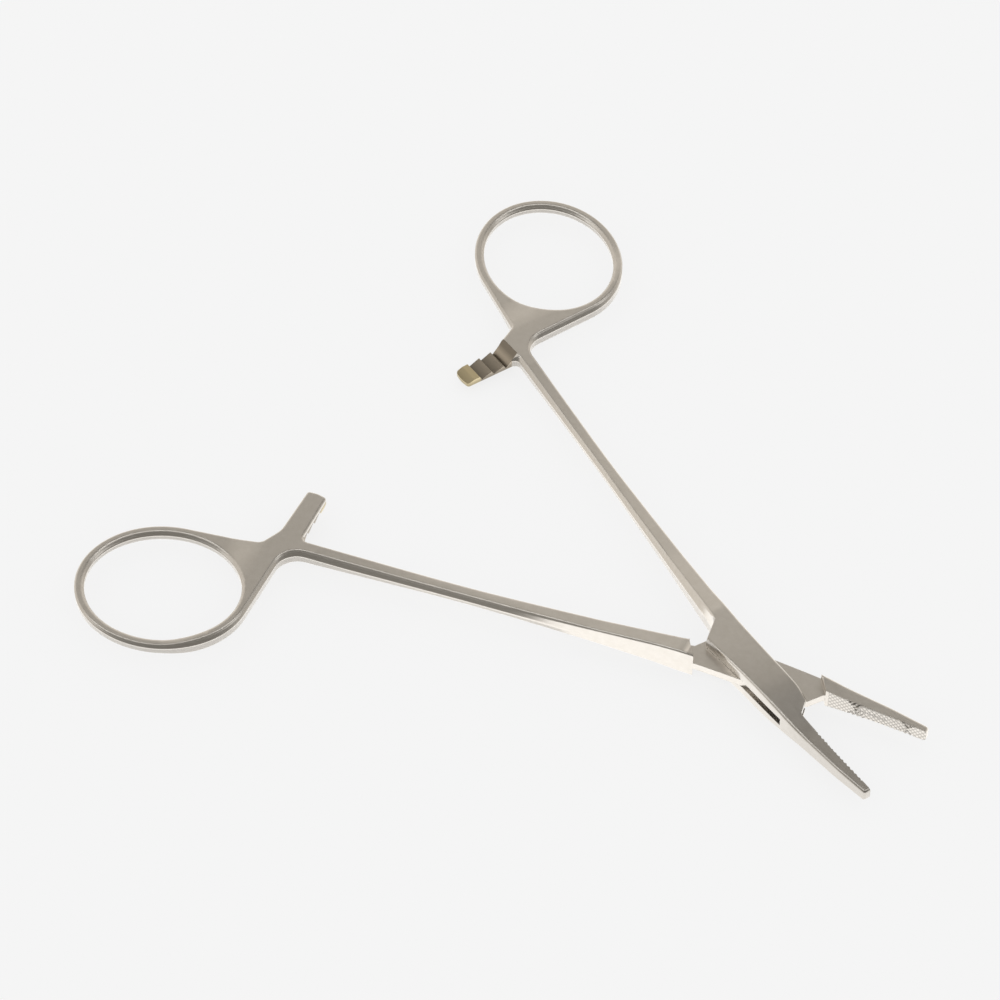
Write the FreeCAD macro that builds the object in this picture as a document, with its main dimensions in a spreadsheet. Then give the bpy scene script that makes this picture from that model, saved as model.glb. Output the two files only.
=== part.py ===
import FreeCAD, Part
import math
import os
import Sketcher

from FreeCAD import Placement, Rotation, Vector

# Needle holder of 140 mm with a box lock. Two halves, mirror images in plan, cross at the box.
# Each half is drawn in its own frame: pivot at the origin, jaw face on the X axis towards +X,
# finger ring on the +Y side for the box half and on the -Y side for the tongue half.

doc = FreeCAD.newDocument("needle_holder")
sheet = doc.addObject("Spreadsheet::Sheet", "sizes")

SIZES = [
    # whole instrument
    ("rest_opening", 28.3),
    ("box_thick", 5.3),
    # finger ring, an oval that leans towards the shank
    ("ring_back", 94.6),
    ("ring_out", 27.5),
    ("hole_long", 26.5),
    ("hole_wide", 22.5),
    ("rod_width", 1.6),
    ("ring_thick", 2.2),
    ("ring_lean", 13.0),
    # hub between ring, shank and ratchet arm
    ("hub_back", 84.3),
    ("hub_out", 12.3),
    ("hub_thick", 3.1),
    ("hub_lead", 8.0),
    ("hub_round", 30.0),
    ("neck_round", 1.6),
    ("flank_back", 80.3),
    ("flank_out", 1.25),
    ("flank_round", 4.0),
    # shank
    ("shank_slope", 0.1217),
    ("shank_rise", 2.0),
    ("shank_front", 12.0),
    ("front_width", 3.1),
    ("front_round", 8.0),
    ("waist_back", 48.0),
    ("waist_width", 2.05),
    ("waist_sweep", 500.0),
    ("shank_thick", 2.1),
    ("swell_back", 26.0),
    ("swell_thick", 3.4),
    ("swell_sweep", 60.0),
    ("shoulder_back", 16.0),
    ("shoulder_half_width", 1.4),
    ("shoulder_round", 60.0),
    ("shoulder_out", 3.35),
    # box plate
    ("plate_rear", 7.75),
    ("rear_half_width", 3.6),
    ("middle_half_width", 3.12),
    ("plate_front", 10.75),
    ("front_taper", 2.8),
    ("front_half_width", 3.0),
    ("front_corner_out", 2.5),
    ("notch_back", 10.3),
    ("plate_lead", 1.5),
    ("plate_rear_round", 12.0),
    ("plate_side_round", 80.0),
    ("plate_front_round", 12.0),
    # jaw
    ("nose_start", 7.0),
    ("nose_end", 15.5),
    ("nose_round", 40.0),
    ("jaw_tip", 30.5),
    ("jaw_root", 12.7),
    ("jaw_root_round", 0.8),
    ("jaw_width", 2.85),
    ("jaw_mid", 24.0),
    ("jaw_mid_width", 2.05),
    ("jaw_sweep", 40.0),
    ("tip_width", 1.25),
    ("tip_round", 0.55),
    ("root_thick", 3.2),
    ("tip_thick", 2.2),
    ("jaw_gap", 0.06),
    # box lock
    ("tongue_thick", 1.44),
    ("slot_side_gap", 0.04),
    ("swing_gap", 0.25),
    ("shoulder_gap", 1.0),
    ("pin_radius", 1.5),
    ("pin_gap", 0.03),
    # ratchet
    ("arm_left", 82.6),
    ("arm_width", 3.65),
    ("arm_reach", 1.1),
    ("arm_bulge", 0.25),
    ("arm_corner_round", 0.6),
    ("arm_root_round", 1.1),
    ("arm_flare", 0.5),
    ("tooth_pitch", 2.45),
    ("tooth_depth", 0.8),
    ("tooth_lean", 0.45),
    ("block_length", 2.45),
    ("bevel_length", 1.3),
    ("bevel_drop", 0.45),
    ("crest_gap", 0.12),
    ("ramp_length", 2.8),
    # serration of the jaw faces
    ("groove_pitch", 0.85),
    ("groove_depth", 0.2),
    ("groove_slant", 45.0),
    ("groove_land", 0.2),
    ("serrated_margin", 1.1),
    ("serrated_overrun", 1.0),
    ("centre_groove_start", 18.0),
    ("centre_groove_end", 23.5),
    ("centre_groove_width", 0.5),
    # softened edges
    ("rod_edge_round", 0.45),
    ("hole_edge_round", 0.7),
    ("jaw_edge_round", 0.55),
]
for row, (alias, value) in enumerate(SIZES, start=1):
    sheet.set("A%d" % row, alias)
    sheet.set("B%d" % row, str(value))
    sheet.setAlias("B%d" % row, alias)
doc.recompute()


def size(alias):
    return float(sheet.get(alias))


def shank_middle(back):
    """Height of the shank's middle line at a distance behind the pivot."""
    return size("shank_rise") + size("shank_slope") * (back - size("shank_front"))


def rounded_run(corners):
    """Straight runs joined by tangent arcs. Each corner is (x, y, radius)."""
    pieces = []
    last = Vector(corners[0][0], corners[0][1], 0)
    for index in range(1, len(corners) - 1):
        here = Vector(corners[index][0], corners[index][1], 0)
        radius = corners[index][2]
        before = (Vector(corners[index - 1][0], corners[index - 1][1], 0) - here).normalize()
        after = (Vector(corners[index + 1][0], corners[index + 1][1], 0) - here).normalize()
        half = before.getAngle(after) / 2
        if radius == 0:
            pieces.append(Part.LineSegment(last, here))
            last = here
            continue
        setback = radius / math.tan(half)
        start = here + before * setback
        end = here + after * setback
        bisector = (before + after).normalize()
        crown = here + bisector * (radius / math.sin(half) - radius)
        pieces.append(Part.LineSegment(last, start))
        pieces.append(Part.Arc(start, crown, end))
        last = end
    pieces.append(Part.LineSegment(last, Vector(corners[-1][0], corners[-1][1], 0)))
    return pieces


def mirrored(pieces, side):
    """The pieces as drawn for the box half, or reflected in the X axis for the tongue half."""
    if side > 0:
        return pieces
    for piece in pieces:
        piece.mirror(Vector(0, 0, 0), Vector(1, 0, 0))
    return pieces


def ring_ellipse(grow):
    """The ring's hole as an ellipse, grown by the given amount all round."""
    centre = Vector(-size("ring_back"), size("ring_out"), 0)
    lean = math.radians(-size("ring_lean"))
    long_way = Vector(math.cos(lean), math.sin(lean), 0)
    wide_way = Vector(-math.sin(lean), math.cos(lean), 0)
    long_radius = size("hole_long") / 2 + grow
    wide_radius = size("hole_wide") / 2 + grow
    return Part.Ellipse(centre + long_way * long_radius, centre + wide_way * wide_radius, centre)


def touch_angle(ellipse, point, turn):
    """Parameter at which a line from the point touches the ellipse, on the side given by turn."""
    offset = point - ellipse.Center
    lean = ellipse.XAxis
    across = Vector(-lean.y, lean.x, 0)
    unit_x = offset.dot(lean) / ellipse.MajorRadius
    unit_y = offset.dot(across) / ellipse.MinorRadius
    reach = math.hypot(unit_x, unit_y)
    return math.atan2(unit_y, unit_x) + turn * math.acos(1 / reach)


def plan_outline():
    """The outline of a half in plan, from the jaw round by the ring and back to the jaw."""
    outer = ring_ellipse(size("rod_width"))
    front_half = size("front_width") / 2
    waist_half = size("waist_width") / 2
    waist = size("waist_back")
    front = size("shank_front")
    plate_end = size("plate_front") - size("front_taper")
    arm_left = -size("arm_left")
    arm_right = arm_left + size("arm_width")
    flank_back = size("flank_back")
    flank_corner = Vector(-flank_back, shank_middle(flank_back) + size("flank_out"), 0)
    shoulder = size("shoulder_back")
    neck_corner = Vector(-size("hub_back"), size("hub_out"), 0)
    right_touch = touch_angle(outer, flank_corner, 1)
    left_touch = touch_angle(outer, neck_corner, -1)
    ring_start = outer.value(right_touch)
    ring_end = outer.value(left_touch)
    face = -size("jaw_gap") / 2
    tip = size("jaw_tip")
    upper = rounded_run([
        (tip, face - size("tip_width") / 2, 0),
        (tip, face, 0),
        (size("jaw_root"), face, size("jaw_root_round")),
        (size("plate_front"), size("front_corner_out"), 0),
        (plate_end, size("front_half_width"), size("plate_front_round")),
        (0, size("middle_half_width"), size("plate_side_round")),
        (-size("plate_rear"), size("shoulder_out"), 0),
        (-shoulder, shank_middle(shoulder) + size("shoulder_half_width"), size("shoulder_round")),
        (-waist, shank_middle(waist) + waist_half, size("waist_sweep")),
        (flank_corner.x, flank_corner.y, size("flank_round")),
        (ring_start.x, ring_start.y, 0),
    ])
    ring_arc = Part.ArcOfEllipse(outer, right_touch, left_touch + 2 * math.pi)
    arm_root = arm_right + size("arm_flare")
    arm_middle = (arm_left + arm_right) / 2
    arm_end = -size("arm_reach")
    lower = rounded_run([
        (ring_end.x, ring_end.y, 0),
        (neck_corner.x, neck_corner.y, size("neck_round")),
        (arm_left, shank_middle(size("arm_left")) - size("waist_width"), size("flank_round")),
        (arm_left, arm_end, size("arm_corner_round")),
        (arm_middle, arm_end - size("arm_bulge"), size("arm_width")),
        (arm_right, arm_end, size("arm_corner_round")),
        (arm_root, shank_middle(-arm_root) - waist_half, size("arm_root_round")),
        (-waist, shank_middle(waist) - waist_half, size("waist_sweep")),
        (-front, shank_middle(front) - front_half, size("front_round")),
        (-size("notch_back"), 0.0, 0),
        (-size("plate_rear"), -size("rear_half_width"), 0),
        (0, -size("middle_half_width"), size("plate_side_round")),
        (plate_end, -size("front_half_width"), 0),
        (size("jaw_root"), -size("jaw_width"), size("jaw_sweep")),
        (size("jaw_mid"), -size("jaw_mid_width"), size("jaw_sweep") / 2),
        (tip, face - size("tip_width"), size("tip_round")),
        (tip, face - size("tip_width") / 2, 0),
    ])
    return upper + [ring_arc] + lower


def thickness_profile():
    """Half thickness along the half, seen from the side: (x, z, rounding) from ring to tip."""
    box = size("box_thick") / 2
    hub = size("hub_thick") / 2
    ring = size("ring_thick") / 2
    hub_front = -size("arm_left") + size("arm_width") + size("hub_lead") / 2
    return [
        (-size("ring_back") - size("hole_long"), ring, 0),
        (-size("hub_back") - size("hub_lead") / 2, ring, size("hub_round")),
        (-size("hub_back"), hub, size("hub_round")),
        (hub_front, hub, size("hub_round")),
        (-size("waist_back"), size("shank_thick") / 2, size("waist_sweep")),
        (-size("swell_back"), size("swell_thick") / 2, size("swell_sweep")),
        (-size("notch_back") - size("plate_lead"), box, size("plate_rear_round")),
        (size("nose_start"), box, size("nose_round")),
        (size("nose_end"), size("root_thick") / 2, size("nose_round")),
        (size("jaw_tip") + size("plate_lead"), size("tip_thick") / 2, 0),
    ]


def add_sketch(body, name, role, pieces):
    """A sketch on one of the body's own origin planes."""
    sketch = body.newObject("Sketcher::SketchObject", name)
    plane = [item for item in body.Origin.OriginFeatures if item.Role == role][0]
    sketch.AttachmentSupport = [(plane, "")]
    sketch.MapMode = "FlatFace"
    sketch.addGeometry(pieces, False)
    return sketch


def add_pocket(body, name, sketch, length, offset=None):
    """A pocket cut both ways from the sketch, over a length given as an expression."""
    pocket = body.newObject("PartDesign::Pocket", name)
    pocket.Profile = sketch
    pocket.Midplane = True
    pocket.setExpression("Length", length)
    if offset is not None:
        sketch.AttachmentOffset = offset
    doc.recompute()
    return pocket


def polygon(points):
    """Closed straight outline through the points, in the sketch's own plane."""
    corners = [Vector(x, y, 0) for x, y in points]
    return [Part.LineSegment(a, b) for a, b in zip(corners, corners[1:] + corners[:1])]


def half_blank(name, side):
    """One forged half: plan outline with its ring hole, thinned to its side profile."""
    body = doc.addObject("PartDesign::Body", name)
    outline = mirrored(plan_outline() + [ring_ellipse(0)], side)
    plan = add_sketch(body, name + "_plan", "XY_Plane", outline)
    pad = body.newObject("PartDesign::Pad", name + "_forging")
    pad.Profile = plan
    pad.Midplane = True
    pad.setExpression("Length", "sizes.box_thick")
    doc.recompute()
    profile = thickness_profile()
    far = size("box_thick")
    for sign, where in ((1, "top"), (-1, "under")):
        run = rounded_run([(x, sign * z, r) for x, z, r in profile])
        start = Vector(profile[0][0], sign * profile[0][1], 0)
        end = Vector(profile[-1][0], sign * profile[-1][1], 0)
        lid = [Vector(end.x, sign * far, 0), Vector(start.x, sign * far, 0)]
        run.append(Part.LineSegment(end, lid[0]))
        run.append(Part.LineSegment(lid[0], lid[1]))
        run.append(Part.LineSegment(lid[1], start))
        sketch = add_sketch(body, "%s_%s_line" % (name, where), "XZ_Plane", run)
        add_pocket(body, "%s_%s_thinning" % (name, where), sketch,
                   "4 * (sizes.ring_out + sizes.hole_long)")
    return body


def named_edges(shape, wanted):
    """Names of the shape's edges that pass the test, as a fillet needs them."""
    return ["Edge%d" % (i + 1) for i, edge in enumerate(shape.Edges) if wanted(edge)]


def runs_across(edge):
    """True for a straight edge that crosses the half, between two faces of its side profile."""
    span = edge.BoundBox
    return span.XLength < 0.001 and span.ZLength < 0.001


def add_fillet(body, name, feature, wanted, radius):
    """Round the wanted edges of a feature of the body."""
    edges = named_edges(feature.Shape, wanted)
    fillet = body.newObject("PartDesign::Fillet", name)
    fillet.Base = (feature, edges)
    fillet.setExpression("Radius", radius)
    doc.recompute()
    return fillet


def soften(body, name, side):
    """Round the ring, hub, shank and the jaw's back, and leave the box and the jaw face sharp."""
    thin = size("shank_thick") / 4
    rear = -size("notch_back") + 0.01
    front = size("plate_front") - size("front_taper") - 0.01
    face = size("jaw_gap")

    def on_skin(edge):
        return abs(edge.BoundBox.Center.z) > thin and not runs_across(edge)

    def on_hole(edge):
        span = edge.BoundBox
        inside = ring_ellipse(size("rod_width") / 2)
        centre = Vector(inside.Center.x, inside.Center.y * side, 0)
        middle = edge.valueAt((edge.FirstParameter + edge.LastParameter) / 2)
        reach = Vector(middle.x - centre.x, (middle.y - centre.y) * side, 0)
        angle = inside.parameter(Vector(centre.x, inside.Center.y, 0) + reach)
        return on_skin(edge) and reach.Length < (inside.value(angle) - inside.Center).Length

    def on_rod(edge):
        return on_skin(edge) and edge.BoundBox.XMax < rear and not on_hole(edge)

    def on_jaw_back(edge):
        span = edge.BoundBox
        back = max(span.YMin * side, span.YMax * side)
        return on_skin(edge) and span.XMin > front and back < -face

    rod = add_fillet(body, name + "_rod_edges", body.Tip, on_rod, "sizes.rod_edge_round")
    hole = add_fillet(body, name + "_hole_edges", rod, on_hole, "sizes.hole_edge_round")
    return add_fillet(body, name + "_jaw_edges", hole, on_jaw_back, "sizes.jaw_edge_round")


def lock_window(rear_gap, front_gap):
    """Plan of the space that a half leaves for the other one's crossing, in its own frame."""
    far = size("rear_half_width") * 3
    rear_low = Vector(-size("notch_back"), 0, 0)
    rear_high = Vector(-size("plate_rear"), size("rear_half_width"), 0)
    along = (rear_high - rear_low).normalize()
    away = Vector(-along.y, along.x, 0)
    rear_low = rear_low + away * rear_gap
    rear_high = rear_high + away * rear_gap + along * far
    front_high = Vector(size("jaw_root"), 0, 0)
    front_low = Vector(size("plate_front"), -size("front_corner_out"), 0)
    down = (front_low - front_high).normalize()
    out = Vector(-down.y, down.x, 0)
    front_high = front_high + out * front_gap
    front_low = front_low + out * front_gap
    return polygon([
        (rear_low.x, -far), (rear_low.x, rear_low.y), (rear_high.x, rear_high.y),
        (front_high.x, rear_high.y), (front_high.x, front_high.y),
        (front_low.x, front_low.y), (front_low.x, -far),
    ])


def tooth_line(side, up):
    """Space above the toothed face of a ratchet arm: (y, z), teeth rising towards the hub."""
    crest = -size("crest_gap") / 2
    root = crest - size("tooth_depth")
    low = crest - size("bevel_drop")
    end = -size("arm_reach")
    top = size("hub_thick")
    line = [(end * 3, top), (end * 3, low), (end, low), (end + size("bevel_length"), crest)]
    step = end + size("block_length")
    for tooth in range(3):
        line += [(step, crest), (step + size("tooth_lean"), root)]
        step += size("tooth_pitch")
    hub_edge = step - size("tooth_pitch") + size("ramp_length")
    line += [(hub_edge, size("hub_thick") / 2), (hub_edge, top)]
    return polygon([(y * side, z * up) for y, z in line])


def cut_ratchet(body, name, side, up):
    """Cut the arm down to its teeth, on the top for the lower arm and below for the upper one."""
    middle = -size("arm_left") + size("arm_width") / 2
    sketch = add_sketch(body, name + "_tooth_line", "YZ_Plane", tooth_line(side, up))
    return add_pocket(body, name + "_ratchet", sketch, "2 * sizes.arm_width",
                      Placement(Vector(0, 0, middle), Rotation()))


def drill_pivot(body, name, radius):
    """The pivot hole through the whole box."""
    sketch = add_sketch(body, name + "_pivot_circle", "XY_Plane", [])
    sketch.addGeometry(Part.Circle(Vector(0, 0, 0), Vector(0, 0, 1), size("pin_radius")), False)
    ring = sketch.addConstraint(Sketcher.Constraint("Radius", 0, size("pin_radius")))
    sketch.addConstraint(Sketcher.Constraint("Coincident", 0, 3, -1, 1))
    sketch.setExpression("Constraints[%d]" % ring, radius)
    return add_pocket(body, name + "_pivot_hole", sketch, "2 * sizes.box_thick")


def serration(side, slant):
    """A comb of V teeth that cuts one set of slanting grooves across a jaw face."""
    face = -size("jaw_gap") / 2 * side
    start = size("jaw_root") + size("serrated_margin")
    length = size("jaw_tip") - start + size("serrated_overrun")
    height = size("root_thick")
    lean = math.radians(slant)
    across = Vector(math.cos(lean), 0, -math.sin(lean))
    run = Vector(math.sin(lean), 0, math.cos(lean))
    pitch = size("groove_pitch") * math.cos(lean)
    depth = Vector(0, size("groove_depth") * side, 0)
    middle = Vector(start + length / 2, face, 0)
    count = int((length + height) / size("groove_pitch") / 2) + 1
    points = []
    for index in range(-count, count):
        points.append(middle + across * (index * pitch) - depth)
        points.append(middle + across * ((index + 0.5) * pitch) + depth * size("groove_land"))
    points.append(points[-1] + depth * 2)
    points.append(points[0] + depth * 4)
    points = [point - run * height for point in points]
    comb = Part.Face(Part.makePolygon(points + points[:1])).extrude(run * height * 2)
    field = Part.makeBox(length, 6 * size("groove_depth"), height,
                         Vector(start, face - 3 * size("groove_depth"), -height / 2))
    tool = doc.addObject("Part::Feature", "comb")
    tool.Shape = comb.common(field)
    return tool


def centre_groove(side):
    """The short V groove along the middle of a jaw face, where a needle is held lengthwise."""
    face = -size("jaw_gap") / 2 * side
    start = size("centre_groove_start")
    half = Vector(0, 0, size("centre_groove_width"))
    depth = Vector(0, size("groove_depth") * side, 0)
    lip = Vector(start, face, 0) + depth
    points = [lip - half, lip + half, lip - depth * 2]
    groove = doc.addObject("Part::Feature", "centre_groove")
    wedge = Part.Face(Part.makePolygon(points + points[:1]))
    groove.Shape = wedge.extrude(Vector(size("centre_groove_end") - start, 0, 0))
    return groove


def cut_from(base, tool, name):
    """A boolean cut kept as an object of the document."""
    cut = doc.addObject("Part::Cut", name)
    cut.Base = base
    cut.Tool = tool
    doc.recompute()
    return cut


box_body = half_blank("box_forging", 1)
soften(box_body, "box_forging", 1)
window = add_sketch(box_body, "slot_window", "XY_Plane",
                    lock_window(size("swing_gap"), size("swing_gap")))
add_pocket(box_body, "slot", window, "sizes.tongue_thick + 2 * sizes.slot_side_gap")
cut_ratchet(box_body, "box_arm", 1, 1)
drill_pivot(box_body, "box", "sizes.pin_radius")

tongue_body = half_blank("tongue_forging", -1)
soften(tongue_body, "tongue_forging", -1)
for up, where in ((1, "top"), (-1, "under")):
    window = add_sketch(tongue_body, "recess_window_" + where, "XY_Plane",
                        mirrored(lock_window(size("shoulder_gap"), size("swing_gap")), -1))
    rise = up * (size("tongue_thick") + size("box_thick")) / 2
    add_pocket(tongue_body, "recess_" + where, window, "sizes.box_thick",
               Placement(Vector(0, 0, rise), Rotation()))
cut_ratchet(tongue_body, "tongue_arm", -1, -1)
drill_pivot(tongue_body, "tongue", "sizes.pin_radius + sizes.pin_gap")

nodes = []
for body, side, name in ((box_body, 1, "box_half"), (tongue_body, -1, "tongue_half")):
    rising = cut_from(body, serration(side, size("groove_slant")), name + "_grooved")
    crossed = cut_from(rising, serration(side, -size("groove_slant")), name + "_crossed")
    finished = cut_from(crossed, centre_groove(side), name)
    finished.setExpression("Placement.Base.z", "sizes.box_thick / 2")
    finished.setExpression("Placement.Rotation.Angle", "sizes.rest_opening * %d deg / 2" % -side)
    nodes.append(finished)

pin = doc.addObject("Part::Cylinder", "pivot_pin")
pin.setExpression("Radius", "sizes.pin_radius")
pin.setExpression("Height", "sizes.box_thick")
nodes.append(pin)

doc.recompute()
for item in doc.Objects:
    if "Invalid" in item.State or "Error" in item.State:
        raise RuntimeError("%s failed: %s" % (item.Name, item.State))
os.makedirs("parts", exist_ok=True)
for node in nodes:
    shape = node.Shape
    if shape.isNull() or not shape.isValid() or len(shape.Solids) != 1:
        raise RuntimeError("%s is not one sound solid" % node.Name)
    print(node.Name, round(shape.Volume, 2), len(shape.Faces), shape.BoundBox)
for node in nodes:
    node.Shape.exportStep("parts/%s.step" % node.Name)
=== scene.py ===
"""Needle holder of 140 mm, open on a pale table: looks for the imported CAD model."""

from math import cos, radians, sin

import bpy
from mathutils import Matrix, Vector


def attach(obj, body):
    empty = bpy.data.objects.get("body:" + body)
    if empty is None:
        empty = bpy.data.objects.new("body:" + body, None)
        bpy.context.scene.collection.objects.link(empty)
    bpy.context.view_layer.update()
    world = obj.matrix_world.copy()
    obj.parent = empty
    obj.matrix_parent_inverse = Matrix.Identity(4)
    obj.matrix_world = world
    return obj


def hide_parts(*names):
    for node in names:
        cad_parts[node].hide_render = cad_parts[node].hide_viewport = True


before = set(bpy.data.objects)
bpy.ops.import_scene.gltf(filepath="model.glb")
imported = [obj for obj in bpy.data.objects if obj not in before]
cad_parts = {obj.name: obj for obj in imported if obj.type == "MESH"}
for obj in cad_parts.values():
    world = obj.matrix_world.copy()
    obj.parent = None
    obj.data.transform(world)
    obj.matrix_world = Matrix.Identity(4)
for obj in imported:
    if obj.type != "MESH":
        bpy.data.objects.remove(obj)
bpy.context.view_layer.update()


# Box half: a slim forging of martensitic stainless steel with the slotted box of the lock.
# Its surfaces are ground, then brushed along their length to a satin that shows as fine
# streaks, and the arrises are just broken, so that they carry a thin line of light.
BOX_LEAN = radians(-14.15)
MID_HEIGHT = 0.00265
STEEL = "#E0DBD4"
STEEL_SHADE = "#CFC9C0"
CLOUDS_PER_METRE = 900.0

# The real streaks are a few hundredths of a millimetre wide. They are drawn coarser, to show.
GRAIN_WIDTH = 0.00018
GRAIN_LENGTH = 0.009
GRAIN_DEPTH = 0.00002
GRAIN_STRENGTH = 0.06
SMOOTH_STREAK = 0.28
ROUGH_STREAK = 0.36

# Edges are broken all over, but not where the pin is ground flush with the box.
BROKEN_EDGE = 0.00012
FLUSH_RADIUS = 0.0019

# The solids have upright sides. Real ones are drafted up and down from the parting line of the
# forging, and this only shades them so.
PARTING_HEIGHT = 0.00235
PARTING_ROUND = 0.0004
DRAFT = 1.0
SIDE_FROM = 0.75
SIDE_FULL = 0.35
RING_PARTING_RISE = 0.00045
RING_PARTING_FROM = -0.07
RING_PARTING_FULL = -0.085

# The ratchet faces look brown in the picture, and straw on the lead tooth. Valleys are darker with
# painted shade, and crests lighter with a painted highlight.
TIP_STRAW = "#CFC09C"
ROOT_BROWN = "#ABA090"
ARM_END = -0.0785
ARM_ROOT = 0.0091
LEAD_TOOTH = 0.0014
STRAW_FADE = 0.0003
CREST_DEPTH = 0.0001
VALLEY_DEPTH = 0.00085
CREST_PAINTED_HIGHLIGHT = 1.1
VALLEY_PAINTED_SHADE = 0.62

# The crossing grooves are cut in the solids over the middle of each jaw face. This darkens them
# with painted shade, and goes on over the two ends of the face, where none are cut.
JAW_START = 0.0134
JAW_FACE_REACH = 0.0005
FACES_ACROSS = 0.3
GROOVE_MIDDLE = 0.02265
GROOVE_PITCH = 0.00085
GROOVE_PAINTED_SHADE = 0.5

# Jaws, rings and hubs look darker than the shanks in the picture, and get painted shade. The
# strengths of this painted shade are given.
JAW_SHADE_FROM = -0.006
JAW_SHADE_FULL = 0.017
RING_PAINTED_SHADE = 0.85
RING_SHADE_FROM = -0.055
RING_SHADE_FULL = -0.075

MERGE_DISTANCE = 0.000001
FLAT_WITHIN = radians(0.1)
SMOOTH_WITHIN = radians(24)
ARM_REACH = 0.0116
TOOTH_HEIGHT = 0.00095


def linear(hex_colour):
    """A hex sRGB colour as linear RGBA."""
    channels = [int(hex_colour[i:i + 2], 16) / 255 for i in (1, 3, 5)]
    return [c / 12.92 if c <= 0.04045 else ((c + 0.055) / 1.055) ** 2.4 for c in channels] + [1.0]


def add_node(tree, kind, settings=None, links=None):
    """Add a node, set its attributes and input values, and link its inputs."""
    node = tree.nodes.new(kind)
    for key, value in (settings or {}).items():
        if isinstance(key, str) and hasattr(node, key):
            setattr(node, key, value)
        else:
            node.inputs[key].default_value = value
    for key, source in (links or {}).items():
        tree.links.new(source, node.inputs[key])
    return node


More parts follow.
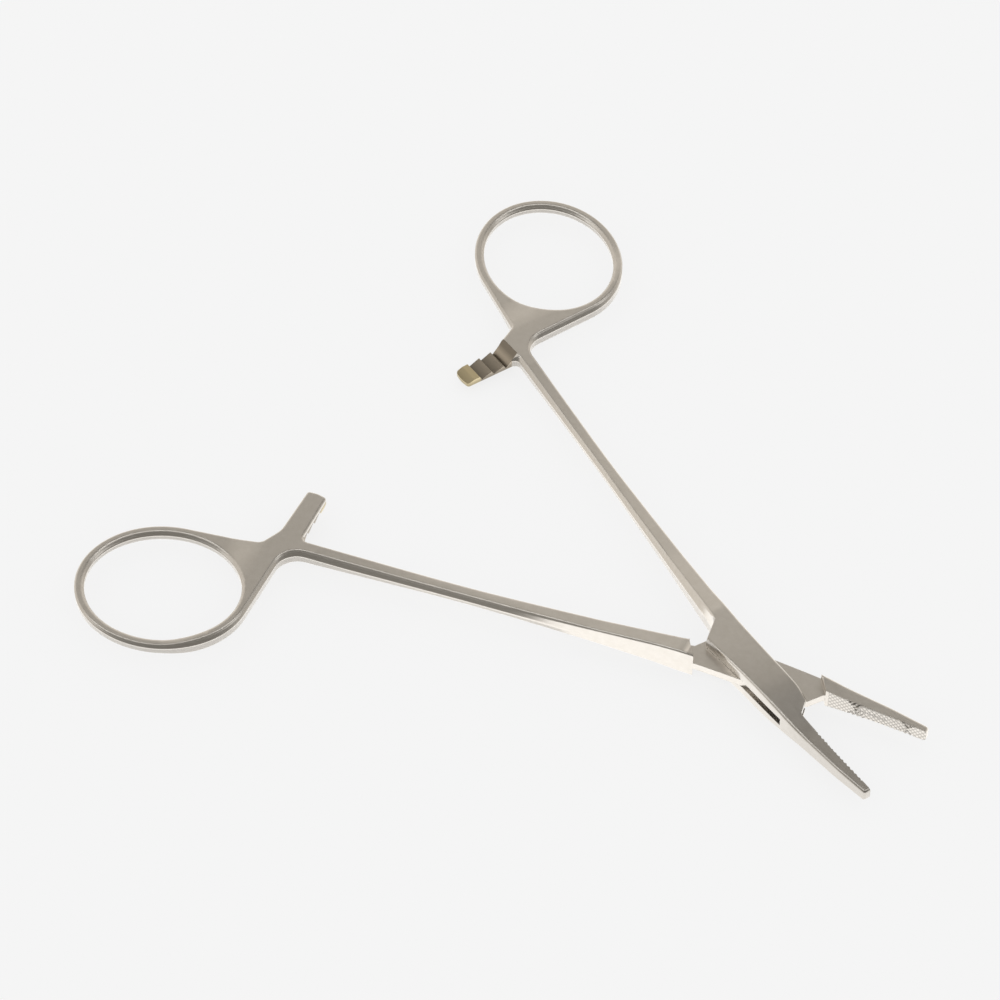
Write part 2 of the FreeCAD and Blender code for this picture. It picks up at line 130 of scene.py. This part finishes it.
def brushed_stainless(name, lean, jaw_painted_shade, draft_from, draft_to, tooth_reach):
    """Satin brushed stainless steel whose grain runs along a half that leans by the angle."""
    material = bpy.data.materials.new(name)
    material.use_nodes = True
    tree = material.node_tree
    tree.nodes.clear()
    place = add_node(tree, "ShaderNodeTexCoord").outputs["Object"]
    flat = add_node(tree, "ShaderNodeNewGeometry").outputs["Normal"]
    along = add_node(
        tree, "ShaderNodeMapping", {"Rotation": (0, 0, -lean)},
        {"Vector": place}).outputs["Vector"]
    spot = add_node(tree, "ShaderNodeSeparateXYZ", None, {"Vector": along})
    forward, height = spot.outputs["X"], spot.outputs["Z"]
    across = add_node(
        tree, "ShaderNodeMath", {"operation": "ABSOLUTE"},
        {0: spot.outputs["Y"]}).outputs["Value"]
    above_middle = add_node(
        tree, "ShaderNodeMath", {"operation": "SUBTRACT", 1: MID_HEIGHT},
        {0: height}).outputs["Value"]

    # Brushed grain in the gloss, and soft clouds in the tone.
    grain_place = add_node(
        tree, "ShaderNodeMapping",
        {"Scale": (1 / GRAIN_LENGTH, 1 / GRAIN_WIDTH, 1 / GRAIN_WIDTH)},
        {"Vector": along}).outputs["Vector"]
    grain = add_node(
        tree, "ShaderNodeTexNoise", {"Scale": 1.0, "Detail": 3.0, "Roughness": 0.6},
        {"Vector": grain_place}).outputs["Fac"]
    gloss = add_node(
        tree, "ShaderNodeMapRange",
        {"From Min": 0.3, "From Max": 0.7, "To Min": SMOOTH_STREAK, "To Max": ROUGH_STREAK},
        {"Value": grain}).outputs["Result"]
    cloud = add_node(
        tree, "ShaderNodeTexNoise",
        {"Scale": CLOUDS_PER_METRE, "Detail": 4.0, "Roughness": 0.65},
        {"Vector": place}).outputs["Fac"]
    tone = add_node(
        tree, "ShaderNodeMix",
        {"data_type": "RGBA", 6: linear(STEEL_SHADE), 7: linear(STEEL)},
        {0: cloud}).outputs[2]

    # Broken edges, but none round the flush pin.
    edge = add_node(
        tree, "ShaderNodeBevel", {"samples": 8, "Radius": BROKEN_EDGE}).outputs["Normal"]
    in_plan = add_node(
        tree, "ShaderNodeVectorMath", {"operation": "MULTIPLY", 1: (1, 1, 0)},
        {0: place}).outputs["Vector"]
    from_axis = add_node(
        tree, "ShaderNodeVectorMath", {"operation": "LENGTH"}, {0: in_plan}).outputs["Value"]
    off_pin = add_node(
        tree, "ShaderNodeMath", {"operation": "GREATER_THAN", 1: FLUSH_RADIUS},
        {0: from_axis}).outputs["Value"]
    turned = add_node(
        tree, "ShaderNodeMix", {"data_type": "VECTOR"},
        {0: off_pin, 4: flat, 5: edge}).outputs[1]

    # The ratchet arm lies behind ARM_END, and its teeth within tooth_reach of mid height.
    near_arm = add_node(
        tree, "ShaderNodeMath", {"operation": "LESS_THAN", 1: ARM_ROOT},
        {0: across}).outputs["Value"]
    behind = add_node(
        tree, "ShaderNodeMath", {"operation": "LESS_THAN", 1: ARM_END},
        {0: forward}).outputs["Value"]
    on_arm = add_node(
        tree, "ShaderNodeMath", {"operation": "MULTIPLY"},
        {0: near_arm, 1: behind}).outputs["Value"]
    between = add_node(
        tree, "ShaderNodeMath", {"operation": "COMPARE", 1: MID_HEIGHT, 2: tooth_reach},
        {0: height}).outputs["Value"]
    on_teeth = add_node(
        tree, "ShaderNodeMath", {"operation": "MULTIPLY"},
        {0: on_arm, 1: between}).outputs["Value"]

    # Drafted sides: the normal leans up above the parting line and down below it.
    parting_rise = add_node(
        tree, "ShaderNodeMapRange",
        {"From Min": RING_PARTING_FROM, "From Max": RING_PARTING_FULL,
         "To Max": -RING_PARTING_RISE},
        {"Value": forward}).outputs["Result"]
    level = add_node(
        tree, "ShaderNodeMath", {"operation": "ADD"},
        {0: height, 1: parting_rise}).outputs["Value"]
    lift = add_node(
        tree, "ShaderNodeMapRange",
        {"interpolation_type": "SMOOTHSTEP", "From Min": PARTING_HEIGHT - PARTING_ROUND,
         "From Max": PARTING_HEIGHT + PARTING_ROUND, "To Min": -DRAFT, "To Max": DRAFT},
        {"Value": level}).outputs["Result"]
    upright = add_node(tree, "ShaderNodeSeparateXYZ", None, {"Vector": flat}).outputs["Z"]
    tilt = add_node(
        tree, "ShaderNodeMath", {"operation": "ABSOLUTE"}, {0: upright}).outputs["Value"]
    on_side = add_node(
        tree, "ShaderNodeMapRange", {"From Min": SIDE_FROM, "From Max": SIDE_FULL},
        {"Value": tilt}).outputs["Result"]
    on_shank = add_node(
        tree, "ShaderNodeMapRange", {"From Min": draft_to, "From Max": draft_from},
        {"Value": forward}).outputs["Result"]
    off_arm = add_node(
        tree, "ShaderNodeMath", {"operation": "SUBTRACT", 0: 1.0}, {1: on_arm}).outputs["Value"]
    slope = lift
    for where in (on_side, on_shank, off_arm):
        slope = add_node(
            tree, "ShaderNodeMath", {"operation": "MULTIPLY"},
            {0: slope, 1: where}).outputs["Value"]
    leaning = add_node(
        tree, "ShaderNodeCombineXYZ", None, {"Z": slope}).outputs["Vector"]
    draft = add_node(
        tree, "ShaderNodeVectorMath", {"operation": "ADD"},
        {0: turned, 1: leaning}).outputs["Vector"]
    unit = add_node(
        tree, "ShaderNodeVectorMath", {"operation": "NORMALIZE"}, {0: draft}).outputs["Vector"]
    scratch = add_node(
        tree, "ShaderNodeBump", {"Strength": GRAIN_STRENGTH, "Distance": GRAIN_DEPTH},
        {"Height": grain, "Normal": unit}).outputs["Normal"]

    # Brown tint of the ratchet faces, with painted shade in the valleys and a painted highlight on
    # the crests.
    straw_to_brown = add_node(
        tree, "ShaderNodeMapRange",
        {"From Min": LEAD_TOOTH, "From Max": LEAD_TOOTH + STRAW_FADE},
        {"Value": across}).outputs["Result"]
    ratchet_tint = add_node(
        tree, "ShaderNodeMix",
        {"data_type": "RGBA", 6: linear(TIP_STRAW), 7: linear(ROOT_BROWN)},
        {0: straw_to_brown}).outputs[2]
    tooth_depth = add_node(
        tree, "ShaderNodeMath", {"operation": "ABSOLUTE"}, {0: above_middle}).outputs["Value"]
    painted_valley_shade = add_node(
        tree, "ShaderNodeMapRange",
        {"From Min": CREST_DEPTH, "From Max": VALLEY_DEPTH,
         "To Min": CREST_PAINTED_HIGHLIGHT, "To Max": VALLEY_PAINTED_SHADE},
        {"Value": tooth_depth}).outputs["Result"]
    tint_painted_light_and_shade = add_node(
        tree, "ShaderNodeVectorMath", {"operation": "SCALE"},
        {0: ratchet_tint, "Scale": painted_valley_shade}).outputs["Vector"]
    teeth_tint_and_painted_shade = add_node(
        tree, "ShaderNodeMix", {"data_type": "RGBA"},
        {0: on_teeth, 6: tone, 7: tint_painted_light_and_shade}).outputs[2]

    # Painted shade of crossing grooves at 45 degrees, on the faces that the two jaws turn to each
    # other.
    facing = add_node(
        tree, "ShaderNodeVectorMath", {"operation": "DOT_PRODUCT", 1: (-sin(lean), cos(lean), 0)},
        {0: flat}).outputs["Value"]
    to_other = add_node(
        tree, "ShaderNodeMath", {"operation": "ABSOLUTE"}, {0: facing}).outputs["Value"]
    serrated = add_node(
        tree, "ShaderNodeMath", {"operation": "GREATER_THAN", 1: FACES_ACROSS},
        {0: to_other}).outputs["Value"]
    past_root = add_node(
        tree, "ShaderNodeMath", {"operation": "GREATER_THAN", 1: JAW_START},
        {0: forward}).outputs["Value"]
    near_face = add_node(
        tree, "ShaderNodeMath", {"operation": "LESS_THAN", 1: JAW_FACE_REACH},
        {0: across}).outputs["Value"]
    for where in (past_root, near_face):
        serrated = add_node(
            tree, "ShaderNodeMath", {"operation": "MULTIPLY"},
            {0: serrated, 1: where}).outputs["Value"]
    from_middle = add_node(
        tree, "ShaderNodeMath", {"operation": "SUBTRACT", 1: GROOVE_MIDDLE},
        {0: forward}).outputs["Value"]
    to_grooves = []
    for sign in ("ADD", "SUBTRACT"):
        slant = add_node(
            tree, "ShaderNodeMath", {"operation": sign},
            {0: from_middle, 1: above_middle}).outputs["Value"]
        to_grooves.append(add_node(
            tree, "ShaderNodeMath", {"operation": "PINGPONG", 1: GROOVE_PITCH / 2},
            {0: slant}).outputs["Value"])
    nearest = add_node(
        tree, "ShaderNodeMath", {"operation": "MINIMUM"},
        {0: to_grooves[0], 1: to_grooves[1]}).outputs["Value"]
    painted_groove_shade = add_node(
        tree, "ShaderNodeMapRange",
        {"From Min": 0.0, "From Max": GROOVE_PITCH / 4, "To Min": GROOVE_PAINTED_SHADE, "To Max": 1.0},
        {"Value": nearest}).outputs["Result"]
    groove_shade_share = add_node(
        tree, "ShaderNodeMix", {"data_type": "FLOAT", 2: 1.0},
        {0: serrated, 3: painted_groove_shade}).outputs[0]

    # Painted shade: darker jaws and rings.
    jaw_shade_share = add_node(
        tree, "ShaderNodeMapRange",
        {"From Min": JAW_SHADE_FROM, "From Max": JAW_SHADE_FULL, "To Min": 1.0, "To Max": jaw_painted_shade},
        {"Value": forward}).outputs["Result"]
    ring_shade_share = add_node(
        tree, "ShaderNodeMapRange",
        {"From Min": RING_SHADE_FROM, "From Max": RING_SHADE_FULL, "To Min": 1.0,
         "To Max": RING_PAINTED_SHADE},
        {"Value": forward}).outputs["Result"]
    share = groove_shade_share
    for dimming in (jaw_shade_share, ring_shade_share):
        share = add_node(
            tree, "ShaderNodeMath", {"operation": "MULTIPLY"},
            {0: share, 1: dimming}).outputs["Value"]
    colour = add_node(
        tree, "ShaderNodeVectorMath", {"operation": "SCALE"},
        {0: teeth_tint_and_painted_shade, "Scale": share}).outputs["Vector"]

    steel = add_node(
        tree, "ShaderNodeBsdfPrincipled", {"Metallic": 1.0},
        {"Base Color": colour, "Roughness": gloss, "Normal": scratch})
    add_node(tree, "ShaderNodeOutputMaterial", None, {"Surface": steel.outputs["BSDF"]})
    return material


def sharpen_teeth(piece, lean):
    """Keep every edge of the ratchet teeth crisp, also the shallow ones."""
    mesh = piece.data
    sharp = mesh.attributes["sharp_edge"].data
    for edge in mesh.edges:
        spots = [mesh.vertices[i].co for i in edge.vertices]
        forward = [spot.x * cos(lean) + spot.y * sin(lean) for spot in spots]
        out = [abs(spot.y * cos(lean) - spot.x * sin(lean)) for spot in spots]
        depth = [abs(spot.z - MID_HEIGHT) for spot in spots]
        if max(forward) < ARM_END and max(out) < ARM_REACH and max(depth) < TOOTH_HEIGHT:
            sharp[edge.index].value = True


def finished_copy(node, body, material, lean=None):
    """A merged and smoothed copy of a CAD node that stands for it, with its finish."""
    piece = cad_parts[node].copy()
    piece.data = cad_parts[node].data.copy()
    piece.name = node + "_finished"
    piece.parent = None
    bpy.context.scene.collection.objects.link(piece)
    bpy.ops.object.select_all(action="DESELECT")
    bpy.context.view_layer.objects.active = piece
    piece.select_set(True)
    bpy.ops.object.mode_set(mode="EDIT")
    bpy.ops.mesh.select_all(action="SELECT")
    bpy.ops.mesh.remove_doubles(threshold=MERGE_DISTANCE)
    bpy.ops.mesh.dissolve_limited(angle_limit=FLAT_WITHIN)
    bpy.ops.object.mode_set(mode="OBJECT")
    bpy.ops.object.shade_smooth_by_angle(angle=SMOOTH_WITHIN)
    if lean is not None:
        sharpen_teeth(piece, lean)
    bpy.ops.object.modifier_add(type="WEIGHTED_NORMAL")
    piece.modifiers[-1].keep_sharp = True
    bpy.ops.object.modifier_apply(modifier=piece.modifiers[-1].name)
    piece.data.materials.clear()
    piece.data.materials.append(material)
    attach(piece, body)
    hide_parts(node)
    return piece


box_steel = brushed_stainless(
    "satin_brushed_stainless_box_half", BOX_LEAN, jaw_painted_shade=0.72, draft_from=-0.016,
    draft_to=-0.0105, tooth_reach=0.0016)
box_half = finished_copy("box_half", "box", box_steel, BOX_LEAN)


# Tongue half: the mirror forging, thinned to a tongue that passes through the slot. It is
# brushed along its own length, so its grain lies at the opening angle to the box half's.
tongue_steel = brushed_stainless(
    "satin_brushed_stainless_tongue_half", -BOX_LEAN, jaw_painted_shade=0.95, draft_from=-0.045,
    draft_to=-0.026, tooth_reach=0.00095)
tongue_half = finished_copy("tongue_half", "tongue", tongue_steel, -BOX_LEAN)


# Pivot pin: a steel pin riveted through the box and ground flush, then brushed with the box,
# so that only a trace of its outline can be seen.
pivot_pin = finished_copy("pivot_pin", "box", box_steel)


# Table: a matt pale sheet that runs past the picture on all sides. It glows a little under the
# tent light, so that it keeps only a faint shadow round the object, and the steel sees it
# brighter than the camera does, so that low sides go pale.
TABLE = "#F5F5F5"
TABLE_SIZE = 6.0
SHADOW_SHARE = 0.12
TABLE_IN_STEEL = 1.7
bpy.ops.mesh.primitive_plane_add(size=TABLE_SIZE, location=(0, 0, 0))
table = bpy.context.object
table.name = "table"
sheet = bpy.data.materials.new("matt_pale_sheet")
sheet.use_nodes = True
tree = sheet.node_tree
tree.nodes.clear()
ray = add_node(tree, "ShaderNodeLightPath")
strength = add_node(
    tree, "ShaderNodeMapRange", {"To Min": 1.0, "To Max": TABLE_IN_STEEL},
    {"Value": ray.outputs["Is Glossy Ray"]})
glow = add_node(
    tree, "ShaderNodeEmission", {"Color": linear(TABLE)}, {"Strength": strength.outputs["Result"]})
matt = add_node(tree, "ShaderNodeBsdfDiffuse", {"Color": linear(TABLE)})
surface = add_node(
    tree, "ShaderNodeMixShader", {0: SHADOW_SHARE},
    {1: glow.outputs["Emission"], 2: matt.outputs["BSDF"]})
add_node(tree, "ShaderNodeOutputMaterial", None, {"Surface": surface.outputs["Shader"]})
table.data.materials.append(sheet)


# Camera: a long lens that looks down at the table from the side of the jaws. Its place and
# its aim were recovered from the picture.
LENS = 138.5
DISTANCE = 0.651
AZIMUTH = radians(40.42)
ELEVATION = radians(49.21)
AIM = Vector((-0.0551, 0.0013, 0.00265))
away = Vector((-sin(AZIMUTH) * cos(ELEVATION), cos(AZIMUTH) * cos(ELEVATION), -sin(ELEVATION)))
bpy.ops.object.camera_add(location=AIM - away * DISTANCE)
camera = bpy.context.object
camera.rotation_euler = away.to_track_quat("-Z", "Y").to_euler()
camera.data.lens = LENS
camera.data.sensor_width = 36.0
camera.data.clip_end = 20.0
bpy.context.scene.camera = camera


# Studio: a white tent for the table. The steel sees it with a grey opening over the camera,
# from which it grows brighter and warmer down to the far side, so that tops darken where they
# turn to the camera. A soft strip lamp across the zenith puts a line of light on each edge.
TENT = "#FFFFFF"
OPENING = Vector((0.12, -0.5, 0.866)).normalized()
FAR_SIDE = "#FFF8EE"
OVERHEAD = "#86847F"
BETWEEN = (
    (0.33, "#F4EFE8"), (0.47, "#E6E1D9"), (0.51, "#DAD5CD"), (0.55, "#C6C2BB"),
    (0.585, "#B0ADA6"), (0.63, "#979490"), (0.73, "#8A8884"),
)
STRIP_INNER = 0.065
STRIP_OUTER = 0.195
STRIP_STRENGTH = 1.6
STRIP_LOW = 0.4
STRIP_HIGH = 0.7
world = bpy.data.worlds.new("studio")
bpy.context.scene.world = world
world.use_nodes = True
tree = world.node_tree
tree.nodes.clear()
ray = add_node(tree, "ShaderNodeLightPath")
direction = add_node(tree, "ShaderNodeTexCoord").outputs["Generated"]
to_camera = add_node(
    tree, "ShaderNodeMapping", {"vector_type": "VECTOR", "Rotation": (0, 0, -AZIMUTH)},
    {"Vector": direction}).outputs["Vector"]
towards = add_node(
    tree, "ShaderNodeVectorMath", {"operation": "DOT_PRODUCT", 1: OPENING},
    {0: to_camera}).outputs["Value"]
span = add_node(
    tree, "ShaderNodeMapRange", {"From Min": -0.5, "From Max": 1.0},
    {"Value": towards}).outputs["Result"]
shade = add_node(tree, "ShaderNodeValToRGB", None, {"Fac": span})
stops = shade.color_ramp.elements
stops[0].color = linear(FAR_SIDE)
stops[1].color = linear(OVERHEAD)
for where, colour in BETWEEN:
    stops.new(where).color = linear(colour)
part = add_node(tree, "ShaderNodeSeparateXYZ", None, {"Vector": to_camera})
from_zenith = add_node(
    tree, "ShaderNodeMath", {"operation": "ABSOLUTE"}, {0: part.outputs["Y"]}).outputs["Value"]
in_strip = add_node(
    tree, "ShaderNodeMapRange",
    {"From Min": STRIP_OUTER, "From Max": STRIP_INNER, "To Max": STRIP_STRENGTH},
    {"Value": from_zenith}).outputs["Result"]
raised = add_node(
    tree, "ShaderNodeMapRange", {"From Min": STRIP_LOW, "From Max": STRIP_HIGH},
    {"Value": part.outputs["Z"]}).outputs["Result"]
strip = add_node(
    tree, "ShaderNodeMath", {"operation": "MULTIPLY"}, {0: in_strip, 1: raised}).outputs["Value"]
lit = add_node(
    tree, "ShaderNodeVectorMath", {"operation": "ADD"},
    {0: shade.outputs["Color"], 1: strip}).outputs["Vector"]
seen_by_steel = add_node(tree, "ShaderNodeBackground", {"Strength": 1.0}, {"Color": lit})
seen_by_table = add_node(
    tree, "ShaderNodeBackground", {"Strength": 1.0, "Color": linear(TENT)})
both = add_node(
    tree, "ShaderNodeMixShader", None,
    {0: ray.outputs["Is Glossy Ray"], 1: seen_by_table.outputs["Background"],
     2: seen_by_steel.outputs["Background"]})
add_node(tree, "ShaderNodeOutputWorld", None, {"Surface": both.outputs["Shader"]})
bpy.context.scene.view_settings.view_transform = "Standard"
